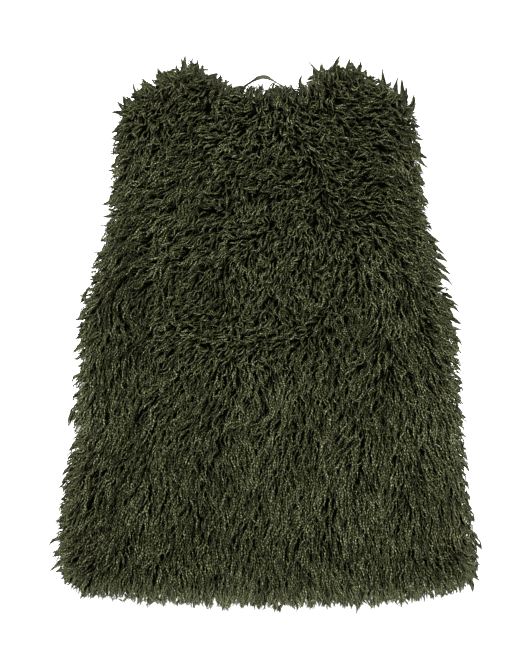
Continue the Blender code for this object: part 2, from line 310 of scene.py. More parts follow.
def side_reach(x, y):
    """How far the pile stands past the nearer side at places, below zero in a gap."""
    up, left, right = np.array(SIDE_REACH).T
    return np.where(x < 0.0, np.interp(y, up, left), np.interp(y, up, right))


def hem_reach(x):
    return np.interp(x, *np.array(HEM_REACH).T)


def neck_dip(x):
    """How much lower the pile ends along the right half of the neck."""
    return 5.0 * ease(x, 30.0, 15.0)


class PanelForm:
    """Outer reach of one panel's pile: its height, its outline and the way out of it."""

    # The grids' spacing and margin, the rays' start, and the fall past the outline
    step = 4.0
    margin = 48.0
    ray_start = 200.0
    droop = 0.18

    def __init__(self, node, facing):
        self.facing = facing
        bm = merged_solid(node)
        tree = BVHTree.FromBMesh(bm)
        self.outline = self.outline_of(bm)
        low, high = (np.array(corner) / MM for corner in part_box(node))
        bm.free()
        edge_tree = tree_of(self.outline)
        self.low = low[:2] - self.margin
        cells = np.ceil((high[:2] + self.margin - self.low) / self.step).astype(int) + 1
        self.heights, self.depths = np.zeros((2, *cells))
        for cell in np.ndindex(*cells):
            x, y = self.low + np.array(cell) * self.step
            start = Vector((x, y, self.ray_start * facing)) * MM
            hit = tree.ray_cast(start, Vector((0, 0, -facing)))[0]
            _, number, far = edge_tree.find((x, y, 0.0))
            if hit is None:
                self.depths[cell] = -far
                self.heights[cell] = self.outline[number][2] - self.droop * far
            else:
                self.depths[cell] = far
                self.heights[cell] = hit.z / MM
        for _ in range(3):
            self.heights = self.softened(self.heights)

    def outline_of(self, bm):
        """Points about 2 mm apart along the edge where the fur side turns under."""
        points = []
        for edge in bm.edges:
            ways = [face.normal.z * self.facing > 0.02 for face in edge.link_faces]
            if len(ways) == 2 and ways[0] != ways[1]:
                a, b = (np.array(vert.co) / MM for vert in edge.verts)
                count = max(1, int(np.linalg.norm(b - a) / 2.0))
                points += [a + (b - a) * k / count for k in range(count)]
        return np.array(points)

    @staticmethod
    def softened(grid):
        padded = np.pad(grid, 1, mode="edge")
        return (
            4 * grid
            + 2 * (padded[:-2, 1:-1] + padded[2:, 1:-1] + padded[1:-1, :-2] + padded[1:-1, 2:])
            + (padded[:-2, :-2] + padded[2:, :-2] + padded[:-2, 2:] + padded[2:, 2:])
        ) / 16.0

    def read(self, grid, x, y):
        u = np.clip((x - self.low[0]) / self.step, 0, grid.shape[0] - 1.001)
        v = np.clip((y - self.low[1]) / self.step, 0, grid.shape[1] - 1.001)
        i, j = u.astype(int), v.astype(int)
        s, t = u - i, v - j
        return (
            grid[i, j] * (1 - s) * (1 - t)
            + grid[i + 1, j] * s * (1 - t)
            + grid[i, j + 1] * (1 - s) * t
            + grid[i + 1, j + 1] * s * t
        )

    def height(self, x, y):
        return self.read(self.heights, x, y)

    def depth(self, x, y):
        """How far inside the outline a place is, below zero outside."""
        return self.read(self.depths, x, y)

    def way_out(self, x, y):
        """Heading that leads straight out of the outline."""
        reach = 6.0
        out_x = self.depth(x - reach, y) - self.depth(x + reach, y)
        out_y = self.depth(x, y - reach) - self.depth(x, y + reach)
        return np.arctan2(out_y, out_x)

    def seats_round(self, spacing, rng):
        """Places on the outline that stand at least a spacing apart."""
        kept = np.empty((0, 3))
        for point in rng.permutation(self.outline):
            if not len(kept) or np.hypot(*(kept - point)[:, :2].T).min() > spacing:
                kept = np.vstack((kept, point))
        return kept

    def scattered(self, spacing, rng, inset):
        """Jittered places inside the outline."""
        size = np.array(self.heights.shape) * self.step
        across, along = (np.arange(0.0, length, spacing) for length in size)
        x, y = (
            grid.ravel() + low + rng.uniform(-0.5, 0.5, grid.size) * spacing
            for grid, low in zip(np.meshgrid(across, along, indexing="ij"), self.low)
        )
        keep = self.depth(x, y) > inset
        return x[keep], y[keep]


class Locks:
    """Small neighbourhoods of strands, each of which gathers into one lock."""

    def __init__(self, x, y, size, rng):
        across = np.arange(x.min() - size, x.max() + size, size)
        along = np.arange(y.min() - size, y.max() + size, size)
        seats = np.stack(np.meshgrid(across, along, indexing="ij"), -1).reshape(-1, 2)
        seats += rng.uniform(-0.45, 0.45, seats.shape) * size
        tree = tree_of(seats)
        self.count = len(seats)
        self.number = np.array([tree.find((*place, 0.0))[1] for place in zip(x, y)])
        self.x, self.y = seats[self.number].T
        self.rng = rng

    def uniform(self, low, high):
        """A random value for each lock, shared by its strands."""
        return self.rng.uniform(low, high, self.count)[self.number]

    def normal(self, spread):
        return self.rng.normal(0.0, spread, self.count)[self.number]


def mixed_heading(first, second, share):
    """Heading between two, at a share of the way to the second."""
    x = np.cos(first) * (1 - share) + np.cos(second) * share
    y = np.sin(first) * (1 - share) + np.sin(second) * share
    return np.arctan2(y, x)


def strand_pattern(rings):
    """One strand made straight: a closed three-sided tube that ends in a point.

    Gives each vertex's ring, its place round it and every face's corners.
    """
    bm = bmesh.new()
    bmesh.ops.create_circle(bm, cap_ends=True, segments=3, radius=1.0)
    bmesh.ops.rotate(bm, verts=bm.verts, matrix=Matrix.Rotation(np.pi, 3, "Z"))
    top = list(bm.verts)
    for _ in range(rings - 1):
        edges = [e for e in bm.edges if all(v in top for v in e.verts)]
        grown = bmesh.ops.extrude_edge_only(bm, edges=edges)["geom"]
        top = [part for part in grown if isinstance(part, bmesh.types.BMVert)]
        bmesh.ops.translate(bm, verts=top, vec=(0.0, 0.0, 1.0))
    bmesh.ops.pointmerge(bm, verts=top, merge_co=(0.0, 0.0, rings - 1.0))
    bmesh.ops.recalc_face_normals(bm, faces=bm.faces)
    bm.verts.index_update()
    places = np.array([vert.co[:] for vert in bm.verts])
    faces = [[vert.index for vert in face.verts] for face in bm.faces]
    bm.free()
    return np.rint(places[:, 2]).astype(int), places[:, :2], faces


def buried_shade(form, paths):
    """How far each path point lies under the pile round it, from 0 to 1, for painted shade."""
    points = np.concatenate((paths, (paths[:, 1:] + paths[:, :-1]) / 2), 1).reshape(-1, 3)
    low = points[:, :2].min(0) - 4 * SHADE_CELL
    cells = np.ceil((points[:, :2].max(0) + 4 * SHADE_CELL - low) / SHADE_CELL).astype(int)
    i, j = ((points[:, :2] - low) / SHADE_CELL).astype(int).T
    height = points[:, 2] * form.facing
    top = np.full(cells, height.min())
    np.maximum.at(top, (i, j), height)
    padded = np.pad(top, 1, mode="edge")
    near = [padded[a : a + cells[0], b : b + cells[1]] for a in range(3) for b in range(3)]
    top = PanelForm.softened(np.max(near, axis=0))
    i, j = ((paths[..., :2] - low) / SHADE_CELL).astype(int).transpose(2, 0, 1)
    return np.clip((top[i, j] - paths[..., 2] * form.facing - 1.0) / BURIED_DEPTH, 0.0, 1.0)


def fill(data, key, values, kind=np.float32):
    data.foreach_set(key, values.astype(kind).ravel())


def strand_mesh(name, paths, width, tint, paleness, buried, material):
    """A piece of pile: the pattern strand laid along every path and joined."""
    count, rings, _ = paths.shape
    ring_of, around, faces = strand_pattern(rings)
    along = np.linspace(0.0, 1.0, rings)
    tangent = unit(np.gradient(paths, axis=1), 1e-9)
    side = unit(np.cross((0.0, 0.0, 1.0), tangent), 1e-9)
    upright = np.cross(tangent, side)
    taper = np.clip(1.12 - 0.25 * along - 0.75 * ease(along, 0.6, 0.4), 0.12, 1)
    radius = width[:, None] / 2 * taper[None] * (0.55 + 0.45 * ease(along, 0.0, 0.2))
    places = (
        paths[:, ring_of]
        + (radius[:, ring_of] * around[None, :, 0])[..., None] * side[:, ring_of]
        + (radius[:, ring_of] * FLATNESS * around[None, :, 1])[..., None] * upright[:, ring_of]
    )
    places = places.reshape(-1, 3)
    places[:, 2] = np.maximum(places[:, 2], FLOOR_GAP)

    size = len(ring_of)
    strand = np.arange(count)[:, None]
    corners = np.concatenate(faces)
    mesh = bpy.data.meshes.new(name)
    mesh.vertices.add(count * size)
    fill(mesh.vertices, "co", places * MM)
    mesh.loops.add(count * len(corners))
    fill(mesh.loops, "vertex_index", corners + strand * size, np.int32)
    mesh.polygons.add(count * len(faces))
    first = np.cumsum([0] + [len(face) for face in faces[:-1]]) + strand * len(corners)
    fill(mesh.polygons, "loop_start", first, np.int32)
    mesh.update(calc_edges=True)
    mesh.validate()
    mesh.shade_smooth()

    turn = np.arctan2(around[:, 1], around[:, 0]) / TURN % 1.0
    face_u = []
    for face in faces:
        u = turn[face]
        if u.max() - u.min() > 0.5:
            u = np.where(u < 0.5, u + 1.0, u)
        face_u.append(np.clip(u * AROUND_SHARE, UV_MARGIN, 1 - UV_MARGIN))
    corner_u = np.concatenate(face_u)
    corner_v = np.clip(along[ring_of[corners]], UV_MARGIN, 1 - UV_MARGIN)
    row, column = np.divmod(strand % UV_CELLS**2, UV_CELLS)
    uv = np.stack((column + corner_u, row + corner_v), 2) / UV_CELLS
    fill(mesh.uv_layers.new(name="strand").data, "uv", uv)

    values = {
        "along": np.tile(along[ring_of], count),
        "buried": buried[:, ring_of].ravel(),
        "tint": np.repeat(tint, size),
        "paleness": np.repeat(paleness, size),
    }
    for key, value in values.items():
        fill(mesh.attributes.new(key, "FLOAT", "POINT").data, "value", value)
    mesh.materials.append(material)
    piece = placed(name, mesh)
    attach(piece, "root")


def within_reach(form, x, y, heading, length, reach):
    """Lengths cut back so that no tip stands further than its reach past the outline."""
    share = np.full(len(x), 0.24)
    for trial in (0.38, 0.52, 0.64, 0.76, 0.88, 1.0):
        tip_x = x + np.cos(heading) * length * trial
        tip_y = y + np.sin(heading) * length * trial
        share = np.where(form.depth(tip_x, tip_y) > -reach, trial, share)
    return length * share


def small_tufts(form, seats, turn_out, stray, reach, rng):
    """Rows of small tufts at seats on an outline, as in the table of standing tufts."""
    seat_x, seat_y = seats[:, 0], seats[:, 1]
    lie = lie_of_pile(seat_x, seat_y)[0]
    heading = mixed_heading(lie, form.way_out(seat_x, seat_y), turn_out)
    heading += rng.normal(0.0, 1.0, len(seats)) * stray
    length = rng.uniform(10.0, 16.0, len(seats))
    half_width = np.where(seat_y < HEM_LINE, 0.8, 1.0) * rng.uniform(2.5, 5.5, len(seats))
    tip_x = seat_x + np.cos(heading) * reach
    tip_y = seat_y + np.sin(heading) * reach
    return np.stack((tip_x, tip_y, np.degrees(heading), length, half_width), 1)


def tuft_paths(form, tufts, count, pile, rng, rings):
    """Paths of the strands that gather from each tuft's foot to its curved tip."""
    tip_x, tip_y, heading, length, half_width = np.repeat(tufts, count, axis=0).T[..., None]
    heading = np.radians(heading)
    length = np.maximum(length, 8.0 - form.depth(tip_x, tip_y))
    each = (len(tip_x), 1)
    along = np.linspace(0.0, 1.0, rings)[None]
    start = rng.uniform(-14.0, 1.0, each)
    end = length * (0.35 + 0.75 * rng.uniform(0.0, 1.0, each) ** 0.45)
    forward = start + (end - start) * along
    share = np.clip(forward / length, 0.0, 1.0)
    beside = half_width * rng.uniform(-1.0, 1.0, each) * (1.0 - share) ** 0.8
    bow = np.repeat(rng.normal(0.0, 0.12, len(tufts)), count)[:, None]
    beside += bow * length * 4.0 * share * (1.0 - share)
    wave = rng.uniform(0.8, 1.8, each) * along + rng.uniform(0.0, 1.0, each)
    swing = 0.7 * pile.crimp_swing / MM * rng.uniform(0.3, 1.2, each) * (1.0 - 0.6 * share)
    beside += swing * np.sin(TURN * wave)
    path_x = tip_x - np.cos(heading) * (length - forward) - np.sin(heading) * beside
    path_y = tip_y - np.sin(heading) * (length - forward) + np.cos(heading) * beside
    root = fade(along, 0.0, 0.4) * 5.0
    inward = root + rng.uniform(0.0, 9.0, each) * (1.0 - 0.4 * share)
    inward += swing * np.cos(TURN * wave)
    path_z = form.height(path_x, path_y) - form.facing * inward
    return np.stack((path_x, path_y, path_z), 2)


def strand_paths(form, locks, x, y, heading, scatter, length, reach, sink, pile, rng, **manner):
    """Paths of curly strands that rise out of a panel and lie along its outer reach.

    The strands of a lock share its heading, bend and waves. reach is how far each tip
    may stand past the outline, and sink how far each strand lies below the panel's
    outer reach. manner holds the number of rings, root_depth, tip_rise,
    lock_pull and weave.
    """
    count = len(x)
    rings = manner["rings"]
    along = np.linspace(0.0, 1.0, rings)[None]
    stray = 1.1 * patches(x, y, 34.0, 7) + locks.normal(0.6) + rng.normal(0.0, 0.12, count)
    heading = heading + scatter * stray
    bend = scatter * (locks.normal(1.5) + rng.normal(0.0, 0.4, count))
    length = within_reach(form, x, y, heading, length, reach)

    turn = heading[:, None] + bend[:, None] * (along - 0.35)
    east, north = np.cos(turn), np.sin(turn)
    stride = length[:, None] / (rings - 1)
    path_x = x[:, None] + (np.cumsum(east, 1) - east) * stride
    path_y = y[:, None] + (np.cumsum(north, 1) - north) * stride

    # Strands of a lock draw together beside each other, the more so near the tip
    off = -np.sin(heading) * (x - locks.x) + np.cos(heading) * (y - locks.y)
    pull = manner["lock_pull"] * rng.uniform(0.5, 1.0, count)[:, None] * along**0.8
    path_x += north * off[:, None] * pull
    path_y -= east * off[:, None] * pull

    # Crimp: a lock waves along its length, beside and up
    turns = length * locks.uniform(0.75, 1.3) / WAVE_LENGTH
    wave = turns[:, None] * along + locks.uniform(0.0, 1.0)[:, None]
    wave += rng.uniform(-0.06, 0.06, (count, 1))
    swing = pile.crimp_swing / MM * locks.uniform(0.4, 1.5) * rng.uniform(0.75, 1.25, count)
    swing = swing[:, None] * ease(along / 0.2 + 0.3)
    path_x -= north * swing * np.sin(TURN * wave)
    path_y += east * swing * np.sin(TURN * wave)
    lift = 0.7 * swing * np.cos(TURN * wave)
    weave = rng.uniform(0.9, 1.7, (count, 1)) * along + rng.uniform(0.0, 1.0, (count, 1))
    wild = ease(scatter[:, None], 0.4, 0.3)
    lift += manner["weave"] * (0.5 + 0.5 * wild) * np.sin(TURN * weave)

    root = fade(along, 0.0, 0.42) * manner["root_depth"]
    tip = manner["tip_rise"] * rng.uniform(-0.6, 1.0, count)[:, None] * along**2
    inward = root + sink[:, None] - tip - lift
    path_z = form.height(path_x, path_y) - form.facing * inward
    return np.stack((path_x, path_y, path_z), 2)


def shader(name):
    """A new material, a maker of its nodes, and what feeds its Principled shader."""
    material = bpy.data.materials.new(name)
    material.use_nodes = True
    tree = material.node_tree
    tree.nodes.clear()
    output = tree.nodes.new("ShaderNodeOutputMaterial")
    surface = tree.nodes.new("ShaderNodeBsdfPrincipled")
    tree.links.new(surface.outputs["BSDF"], output.inputs["Surface"])

    def feed(made, inputs):
        for key, value in dict(inputs).items():
            if isinstance(value, bpy.types.NodeSocket):
                tree.links.new(value, made.inputs[key])
            else:
                made.inputs[key].default_value = value

    def node(kind, output, inputs=(), **settings):
        made = tree.nodes.new("ShaderNode" + kind)
        for key, value in settings.items():
            setattr(made, key, value)
        feed(made, inputs)
        return made.outputs[output] if output else made

    return material, node, lambda inputs: feed(surface, inputs)


def ramp(node, factor, stops):
    """Colour ramp whose stops are (place, colour)."""
    made = node("ValToRGB", None, {"Fac": factor})
    elements = made.color_ramp.elements
    while len(elements) < len(stops):
        elements.new(0.5)
    for element, (place, colour) in zip(elements, stops):
        element.position = place
        element.color = (*colour, 1.0)
    return made.outputs["Color"]


def pile_material(pile):
    """Curly acrylic pile: near-black at the root, partly painted shade, olive out to the tip."""
    material = bpy.data.materials.get("curly_pile")
    if material:
        return material
    material, node, finish = shader("curly_pile")
    along, tint, paleness, buried = (
        node("Attribute", "Fac", attribute_name=key)
        for key in ("along", "tint", "paleness", "buried")
    )
    place = node("TexCoord", "Object")

    cell = node("UVMap", "UV", uv_map="strand")
    grown = node("VectorMath", "Vector", {0: cell, 1: (UV_CELLS,) * 3}, operation="MULTIPLY")
    split = node("SeparateXYZ", None, {"Vector": grown}).outputs

    def math(first, second=0.0, kind="MULTIPLY"):
        return node("Math", "Value", {0: first, 1: second}, operation=kind)

    def spread(value, low, high, least=0.0, most=1.0):
        bounds = {"From Min": least, "From Max": most, "To Min": low, "To Max": high}
        return node("MapRange", "Result", {"Value": value, **bounds})

    def noise(vector, scale, detail, low, high):
        made = node("TexNoise", "Fac", {"Vector": vector, "Scale": scale, "Detail": detail})
        return spread(made, low, high, 0.3, 0.7)

    # Painted shade in the crimps along a strand and on its flanks, a painted highlight on its
    # crown, grain, and broad patches over the vest
    phase = math(math(tint, 57.0), noise(grown, 3.0, 1.0, -2.2, 2.2), "ADD")
    twist = math(math(split["Y"], TURN * 8.0), phase, "ADD")
    crimp_shade = math(math(twist, math(split["X"], 6.0), "ADD"), kind="SINE")
    around = math(split["X"], kind="FRACT")
    turns = math(math(around, TURN * 3.0 / AROUND_SHARE), np.pi, "ADD")
    crown_shade_and_relief = math(turns, kind="SINE")
    fibres = node("Mapping", "Vector", {"Vector": grown, "Scale": (4.0, 7.0, 1.0)})
    # Brightness: darker towards the root, partly the underfur's own colour and partly painted
    # shade, then times each factor below
    brightness = spread(along, 0.1, 1.0, 0.08, 0.95)
    for factor in (
        spread(tint, 0.22, 1.78),
        # painted shade under the pile round each point
        spread(buried, 1.0, 0.15),
        # painted shade in the crimps, then on the flanks with a painted highlight on the crown
        spread(crimp_shade, 0.15, 1.75, -1.0),
        spread(crown_shade_and_relief, 0.6, 1.3, -1.0),
        noise(fibres, 1.0, 2.0, 0.15, 1.85),
        noise(place, 26.0, 3.0, 0.88, 1.12),
    ):
        brightness = math(brightness, factor)
    # Ramp from the painted shade of the depths through the shaded strands to the painted
    # highlights of the crests and glints
    shades = (pile.deep_colour, pile.body_colour, pile.crest_colour, pile.glint_colour)
    stops = [(place, tuple(shade)) for place, shade in zip((0.0, 0.1, 0.3, 1.0), shades)]
    tone = ramp(node, math(brightness, 0.18), stops)
    # Painted light: each strand mixed by its paleness towards the paler rim light colour
    rim_light = (*pile.rim_light_colour, 1.0)
    pale = node("MixRGB", "Color", {"Fac": paleness, "Color1": tone, "Color2": rim_light})

    # Fine fibres that run along each strand
    stretched = node("Mapping", "Vector", {"Vector": grown, "Scale": (9.0, 2.2, 1.0)})
    relief = math(crown_shade_and_relief, noise(stretched, 1.6, 2.0, 0.0, 1.0), "ADD")
    bump = node("Bump", "Normal", {"Height": relief, "Strength": 0.5, "Distance": 0.5 * MM})
    finish({
        "Base Color": pale, "Normal": bump, "Roughness": 0.6, "Specular IOR Level": 0.04,
        "Sheen Weight": 0.01, "Sheen Roughness": 0.45, "Sheen Tint": rim_light,
    })
    return material


def backing_material(pile):
    """Matted underfur over a knitted backing, far darker than the tips."""
    material = bpy.data.materials.get("matted_underfur")
    if material:
        return material
    material, node, finish = shader("matted_underfur")
    place = node("TexCoord", "Object")
    fluff = node("TexNoise", "Fac", {"Vector": place, "Scale": 420.0, "Detail": 4.0})
    # Dark underfur, partly painted shade: the pile's deep colour, up to 2.5 times as bright
    dark = tuple(pile.deep_colour)
    tone = ramp(node, fluff, [(0.35, dark), (0.72, tuple(c * 2.5 for c in dark))])
    bump = node("Bump", "Normal", {"Height": fluff, "Strength": 0.8, "Distance": 2.0 * MM})
    finish({"Base Color": tone, "Normal": bump, "Roughness": 0.9, "Specular IOR Level": 0.0})
    return material


def tape_material(loop):
    """Narrow twill tape, its ribs slanted across the width."""
    material, node, finish = shader("twill_tape")
    cloth = node("UVMap", "UV", uv_map="tape")
    weave = node(
        "TexWave", "Fac", {"Vector": cloth, "Scale": 1.0, "Distortion": 0.6, "Detail": 1.0},
        wave_type="BANDS", bands_direction="DIAGONAL",
    )
    colour = tuple(loop.colour)
    dark = tuple(c * 0.5 for c in colour)
    tone = ramp(node, weave, [(0.1, dark), (0.7, colour)])
    bump = node("Bump", "Normal", {"Height": weave, "Strength": 0.6, "Distance": 0.4 * MM})
    finish({"Base Color": tone, "Normal": bump, "Roughness": 0.8, "Specular IOR Level": 0.1})
    return material


def backing_piece(name, node, facing, pile):
    """A panel's cloth: a thin closed shell on its solid's form, under the pile."""
    bm = merged_solid(node)
    low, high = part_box(node)
    plain = low.z if facing > 0 else high.z
    every_axis = {"use_axis_x": True, "use_axis_y": True, "use_axis_z": True}
    for _ in range(3):
        bmesh.ops.smooth_vert(bm, verts=bm.verts, factor=0.5, **every_axis)
    bm.normal_update()
    x, y = (np.array([vert.co[axis] for vert in bm.verts]) / MM for axis in (0, 1))

    # The shell draws in under the pile, less so at the hem, and more at the sides' gaps
    gap = np.clip(-side_reach(x, y), 0.0, None) * (np.abs(x) > 180.0)
    inset = np.where((y < -320.0) | (facing < 0), 2.0, 4.0) + gap
    least, most = 0.3 * MM, 12.0 * MM
    sunk = [(vert, vert.co - vert.normal * far * MM) for vert, far in zip(bm.verts, inset)]
    for vert, place in sunk:
        away = (place.z - plain) * facing
        under = max(away - pile.backing_depth, 0.5 * away)
        vert.co = (place.x, place.y, plain + facing * max(least, min(under, most)))
    piece = placed(name, mesh_of(name, bm, backing_material(pile)))
    piece.data.shade_smooth()
    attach(piece, "root")
    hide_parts(node)


# What every colour setting shares
COLOUR = {"size": 3, "min": 0.0, "max": 1.0, "subtype": "COLOR"}


class VestPileSettings(bpy.types.PropertyGroup):
    """Sizes and colours of the pile."""

    strand_length: FloatProperty(
        name="Strand length", description="Length of a strand of pile as it lies",
        default=23.0 * MM, min=5.0 * MM, max=60.0 * MM, unit="LENGTH",
    )
    strand_width: FloatProperty(
        name="Strand width", description="Width of a strand at its thickest",
        default=2.05 * MM, min=0.5 * MM, max=6.0 * MM, unit="LENGTH",
    )
    strand_spacing: FloatProperty(
        name="Strand spacing", description="Distance between the roots of the back's strands",
        default=3.95 * MM, min=2.0 * MM, max=20.0 * MM, unit="LENGTH",
    )
    crimp_swing: FloatProperty(
        name="Crimp swing", description="How far a strand's crimp swings to one side",
        default=1.3 * MM, min=0.0, max=5.0 * MM, unit="LENGTH",
    )
    backing_depth: FloatProperty(
        name="Backing depth", description="How far the matted underfur lies below the tips",
        default=8.0 * MM, min=2.0 * MM, max=14.0 * MM, unit="LENGTH",
    )
    seed: IntProperty(
        name="Seed", description="Starting number of the pile's random variation", default=17,
    )
    # Stops of the pile's ramp: the deep colour is painted shade, the body colour the shaded
    # strands, the crest and glint colours painted highlights
    deep_colour: FloatVectorProperty(
        name="Deep colour", description="Colour of the pile in its darkest depths",
        default=(0.0008, 0.0009, 0.0004), **COLOUR,
    )
    body_colour: FloatVectorProperty(
        name="Body colour", description="Colour of the pile's shaded strands",
        default=(0.0325, 0.0355, 0.0133), **COLOUR,
    )
    crest_colour: FloatVectorProperty(
        name="Crest colour", description="Colour of the crests of the locks",
        default=(0.110, 0.119, 0.060), **COLOUR,
    )
    glint_colour: FloatVectorProperty(
        name="Glint colour", description="Colour of the brightest crimps",
        default=(0.40, 0.425, 0.275), **COLOUR,
    )
    # Painted light that makes the rim and the hem of the pile paler
    rim_light_colour: FloatVectorProperty(
        name="Rim colour", description="Paler colour of the thin tips round the outline",
        default=(0.1, 0.107, 0.055), **COLOUR,
    )


class VestLoopSettings(bpy.types.PropertyGroup):
    """Sizes and colour of the hanger loop."""

    width: FloatProperty(
        name="Tape width", description="Width of the hanger tape",
        default=5.7 * MM, min=2.0 * MM, max=15.0 * MM, unit="LENGTH",
    )
    thickness: FloatProperty(
        name="Tape thickness", description="Thickness of the hanger tape",
        default=0.9 * MM, min=0.3 * MM, max=3.0 * MM, unit="LENGTH",
    )
    colour: FloatVectorProperty(
        name="Tape colour", description="Colour of the tape's raised yarns",
        default=(0.036, 0.039, 0.020), **COLOUR,
    )


class VestStageSettings(bpy.types.PropertyGroup):
    """Floor, light and camera."""

    floor_size: FloatProperty(
        name="Floor size", description="Width of the plain floor",
        default=60.0, min=2.0, max=200.0, unit="LENGTH",
    )
    floor_colour: FloatVectorProperty(
        name="Floor colour", description="Colour of the plain floor",
        default=(0.96, 0.96, 0.96), **COLOUR,
    )
    sky_strength: FloatProperty(
        name="Sky strength", description="Brightness of the even light from all round",
        default=0.92, min=0.0, max=5.0,
    )
    key_power: FloatProperty(
        name="Key power", description="Power of the large soft lamp in watts",
        default=210.0, min=0.0, max=1000.0, unit="POWER",
    )
    camera_height: FloatProperty(
        name="Camera height", description="Height of the camera above the floor",
        default=2.4, min=0.5, max=10.0, unit="LENGTH",
    )
    picture_height: FloatProperty(
        name="Picture height", description="Length of floor from the picture's top to its bottom",
        default=0.878, min=0.1, max=5.0, unit="LENGTH",
    )


class VEST_OT_cloth(bpy.types.Operator):
    """Makes the backing of the back and of both fronts"""

    bl_idname = "vest.cloth"
    bl_label = "Backing cloth"

    def execute(self, context):
        pile = context.scene.vest_pile
        backing_piece("back_cloth", "back_panel", 1, pile)
        for side in ("left", "right"):
            backing_piece(f"front_{side}_cloth", "front_" + side, -1, pile)
        return {"FINISHED"}


class VEST_OT_back_pile(bpy.types.Operator):
    """Grows the curly pile over the face of the back"""

    bl_idname = "vest.back_pile"
    bl_label = "Back pile"

    def execute(self, context):
        pile = context.scene.vest_pile
        rng = np.random.default_rng(pile.seed)
        form = PanelForm("back_panel", 1)
        x, y = form.scattered(pile.strand_spacing / MM, rng, 3.0)
        wild = ease(lie_of_pile(x, y)[1], 0.35, 0.4)
        kept = rng.uniform(0.0, 1.0, len(x)) < 0.79 + 0.15 * wild
        x, y, wild = x[kept], y[kept], wild[kept]
        heading, scatter = lie_of_pile(x, y)
        depth = form.depth(x, y)
        at_hem = fade(y, -345.0, 50.0)
        way_out = form.way_out(x, y)
        heading = mixed_heading(heading, way_out, 0.15 * fade(depth, 0.0, 30.0))
        locks = Locks(x, y, 4.8, rng)
        length = pile.strand_length / MM * locks.uniform(0.8, 1.25)
        length *= rng.uniform(0.85, 1.1, len(x))
        length *= 1.3 - 0.62 * wild
        neck = ease(y, 270.0, 30.0) * within(x, *FACE_NECK)
        heading = mixed_heading(heading, way_out, 0.8 * neck * fade(depth, 0.0, 14.0))
        reach = locks.uniform(-3.0, 2.5) + locks.uniform(0.0, 8.0) * neck
        reach += side_reach(x, y) - TUFT_CLEARANCE * tufted(x, y)
        reach += at_hem * (1.8 + 0.4 * hem_reach(x))
        sink = locks.uniform(-1.5, 5.0) + rng.uniform(-1.0, 1.0, len(x))
        paths = strand_paths(
            form, locks, x, y, heading, scatter, length, reach, sink, pile, rng,
            rings=8, root_depth=9.0, tip_rise=1.5, lock_pull=0.3, weave=2.0,
        )
        width = pile.strand_width / MM * rng.uniform(0.7, 1.25, len(x))

        # Tone: painted shade by depth, then by lock, painted light that makes the rim and the hem
        # paler, darker at the yoke, and painted light and shade of the folds
        tint = 0.505 + 0.035 * wild - 0.04 * (sink + 1.5) + locks.normal(0.04)
        tint += rng.normal(0, 0.2, len(x))
        rim_light = fade(depth, 0.0, 38.0) * fade(y, 200.0, 60.0)
        low = fade(y, -60.0, 100.0)
        tint += (0.1 + 0.06 * low) * rim_light - 0.045 * ease(y, 120.0, 120.0)
        tint += 0.02 * fade(y, -250.0, 150.0) + 0.1 * at_hem
        tint = np.clip(tint + 0.13 * painted_fold_shading(x, y) + 0.06 * patches(x, y, 26, 21), 0, 1)
        pale = (0.2 + 0.15 * low) * rim_light + 0.4 * at_hem
        pale = np.clip(pale * rng.uniform(0.3, 1.0, len(x)), 0, 1)
        buried = buried_shade(form, paths)
        for name, low, high in BACK_BANDS:
            mine = (y >= low) & (y < high) & (depth > -side_reach(x, y))
            parts = (values[mine] for values in (paths, width, tint, pale, buried))
            strand_mesh(name, *parts, pile_material(pile))
        return {"FINISHED"}


class VEST_OT_edge_pile(bpy.types.Operator):
    """Grows the pile that stands out round the back's outline"""

    bl_idname = "vest.edge_pile"
    bl_label = "Edge pile"

    def execute(self, context):
        pile = context.scene.vest_pile
        rng = np.random.default_rng(pile.seed + 1)
        form = PanelForm("back_panel", 1)
        seats = form.seats_round(7.0, rng)
        seat_x, seat_y = seats[:, 0], seats[:, 1]
        neck = within(seat_x, *NECK) & (seat_y > 250.0)
        top = (seat_y > 285.0) & ~neck
        count = len(seats)
        reach = rng.uniform(-1.5, 3.0, count) + side_reach(seat_x, seat_y)
        reach -= TUFT_CLEARANCE * tufted(seat_x, seat_y)
        share = rng.uniform(0.0, 1.0, count)
        hanging = hem_reach(seat_x) - 3.5 + 5.0 * share + 6.0 * share**6
        reach = np.where(seat_y < HEM_LINE, hanging, reach)
        reach = np.where(neck, rng.uniform(3.0, 12.0, count) - neck_dip(seat_x), reach)
        turn_out = np.where(neck | top, 1.0, rng.uniform(0.1, 0.4, count))
        stray = np.where(neck, 0.5, 0.2)
        tufts = small_tufts(form, seats, turn_out, stray, reach, rng)
        brim = np.repeat(seats[neck], 3, axis=0) + rng.uniform(-3.0, 3.0, (3 * neck.sum(), 3))
        reach = rng.uniform(1.0, 9.0, len(brim)) - neck_dip(brim[:, 0])
        tufts = np.concatenate((tufts, small_tufts(form, brim, 1.0, 0.5, reach, rng)))
        small = tuft_paths(form, tufts, 10, pile, rng, 7)
        tufts = np.array(STANDING_TUFTS) * (1, 1, 1, 1, TALL_SLIMNESS)
        tall = tuft_paths(form, tufts, 16, pile, rng, 7)
        paths = np.concatenate((small, tall))
        root_x, root_y = paths[:, 0, :2].T
        count = len(paths)
        width = pile.strand_width / MM * rng.uniform(0.7, 1.1, count)
        high = ease(root_y, SHOULDERS, 30.0) * (0.26 + 0.1 * within(root_x, *NECK))
        tint = np.clip(0.5 - high + 0.2 * rng.normal(0, 1, count), 0, 1)
        # Painted light: paler towards the hem
        low = fade(root_y, -320.0, 60.0)
        pale = rng.uniform(0.0, 0.12, count) + low * rng.uniform(0.1, 0.5, count)
        buried = buried_shade(form, paths)
        strand_mesh("back_pile_edge", paths, width, tint, pale, buried, pile_material(pile))
        return {"FINISHED"}


